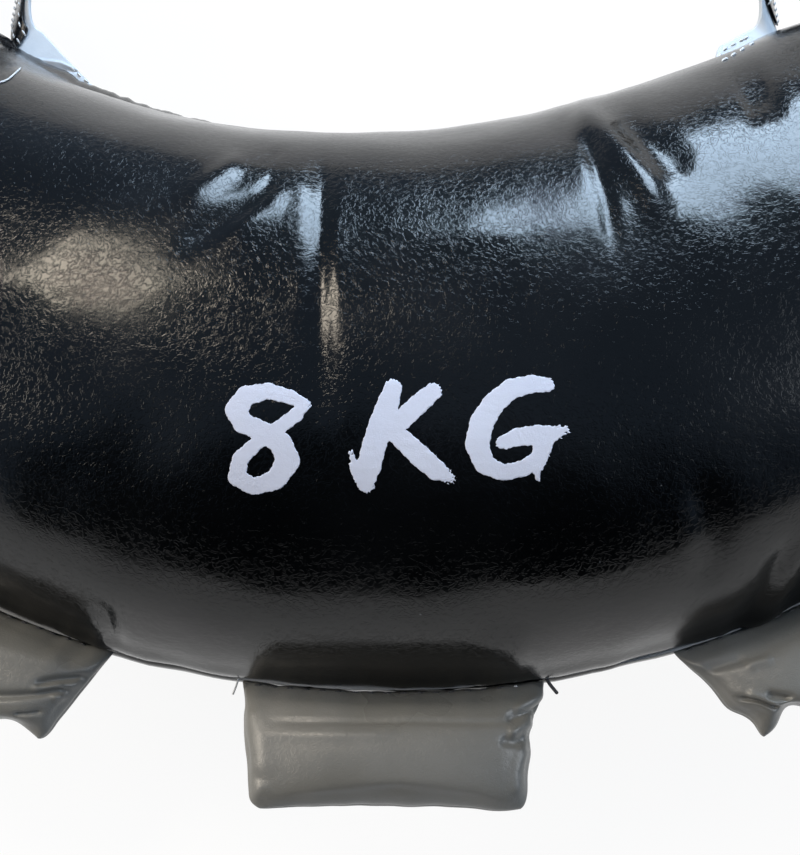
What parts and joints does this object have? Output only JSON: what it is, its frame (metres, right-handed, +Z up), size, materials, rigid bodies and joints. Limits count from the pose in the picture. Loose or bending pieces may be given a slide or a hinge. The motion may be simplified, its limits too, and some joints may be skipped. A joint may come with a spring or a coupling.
{
  "type": "crescent training sandbag",
  "caption": "Crescent-shaped stuffed weight bag with padded fins on its convex seam, hand straps inside the horns and a round grip at each tip.",
  "frame": {"origin": "on the floor, under the middle of the outline of the bag lying on its rear face", "axes": "+Z up out of the front face; +X along the crescent's width, to the right as seen from in front; +Y from the convex side towards the horns' tips"},
  "size_m": [0.5468, 0.5114, 0.149],
  "materials": {
    "black_leather": "glossy, finely creased grain",
    "grey_leather": "satin",
    "strap_leather": "satin",
    "foam": "matt, open cell",
    "liner_cloth": "matt, plain weave",
    "wadding": "matt, fluffy",
    "sack_canvas": "matt, coarse weave"
  },
  "bodies": {
    "bag": {"front_panel": "black_leather", "rear_panel": "black_leather", "liner": "liner_cloth", "wadding": "wadding", "sand_sack_1": "sack_canvas", "sand_sack_2": "sack_canvas", "sand_sack_3": "sack_canvas", "sand_sack_4": "sack_canvas", "sand_sack_5": "sack_canvas", "fin_flange_left": "grey_leather", "fin_flange_centre": "grey_leather", "fin_flange_right": "grey_leather", "neck_tie_left": "black_leather", "neck_tie_right": "black_leather", "grip_core_left": "foam", "grip_core_right": "foam", "grip_sleeve_left": "grey_leather", "grip_sleeve_right": "grey_leather", "grip_cap_left": "black_leather", "grip_cap_right": "black_leather"},
    "left_fin": {"fin_cover_left": "grey_leather", "fin_core_left": "foam"},
    "centre_fin": {"fin_cover_centre": "grey_leather", "fin_core_centre": "foam"},
    "right_fin": {"fin_cover_right": "grey_leather", "fin_core_right": "foam"},
    "left_strap": {"strap_base_left": "strap_leather", "strap_face_left": "black_leather"},
    "right_strap": {"strap_base_right": "strap_leather", "strap_face_right": "black_leather"}
  },
  "joints": [
    {"name": "left_fin_flex", "type": "hinge", "parent": "bag", "child": "left_fin", "pos_m": [-0.1297, -0.19168, 0.06416], "axis": [0.9011, -0.4323, 0.0318], "range_deg": [-45, 45], "stiffness_Nm_per_rad": 1},
    {"name": "centre_fin_flex", "type": "hinge", "parent": "bag", "child": "centre_fin", "pos_m": [0, -0.22072, 0.066], "axis": [1, 0, 0], "range_deg": [-45, 45], "stiffness_Nm_per_rad": 1},
    {"name": "right_fin_flex", "type": "hinge", "parent": "bag", "child": "right_fin", "pos_m": [0.1297, -0.19168, 0.06416], "axis": [0.9011, 0.4323, -0.0318], "range_deg": [-45, 45], "stiffness_Nm_per_rad": 1},
    {"name": "left_strap_swing", "type": "hinge", "parent": "bag", "child": "left_strap", "pos_m": [-0.14052, 0.03227, 0.04807], "axis": [-0.6503, 0.7357, -0.1895], "range_deg": [-45, 45], "stiffness_Nm_per_rad": 0.8},
    {"name": "right_strap_swing", "type": "hinge", "parent": "bag", "child": "right_strap", "pos_m": [0.14807, 0.03637, 0.04703], "axis": [0.611, 0.7666, -0.1977], "range_deg": [-45, 45], "stiffness_Nm_per_rad": 0.8}
  ]
}
